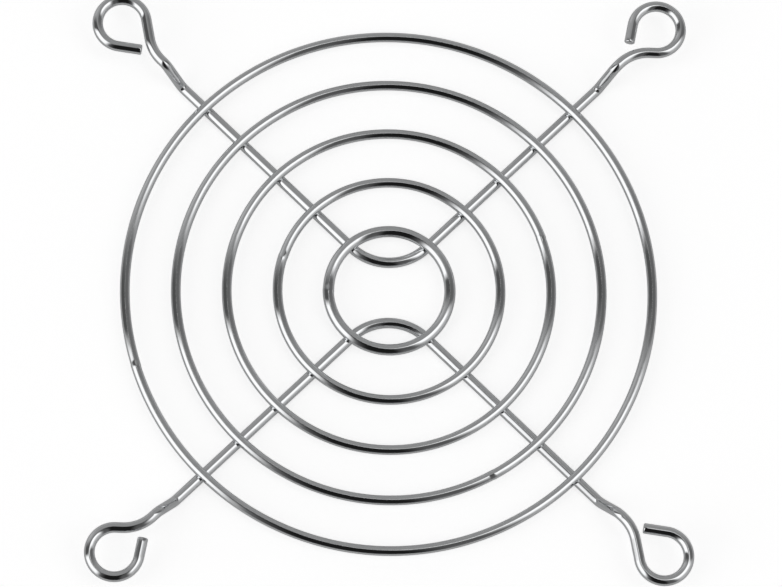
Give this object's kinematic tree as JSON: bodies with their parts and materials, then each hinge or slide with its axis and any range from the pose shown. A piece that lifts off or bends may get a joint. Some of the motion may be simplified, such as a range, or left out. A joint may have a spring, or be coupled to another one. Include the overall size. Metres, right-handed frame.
{
  "type": "wire fan guard",
  "caption": "Round finger guard of concentric wire hoops welded across two bent support wires with an open screw eyelet at each corner.",
  "frame": {"origin": "on the hoops' axis, level with the lowest point of the support wires that the guard lies on", "axes": "+Z along the hoops' axis towards the fan, so the guard lies on its outer face; +Y towards the two upper eyelets; +X to the right as seen from the fan side"},
  "size_m": [0.0794, 0.0794, 0.005],
  "materials": {
    "hoops": "bright plated",
    "support_wires": "bright plated"
  },
  "bodies": {
    "root": {"inner_hoop": "hoops", "second_hoop": "hoops", "third_hoop": "hoops", "fourth_hoop": "hoops", "outer_hoop": "hoops", "upper_support_wire": "support_wires", "lower_support_wire": "support_wires"}
  },
  "joints": []
}
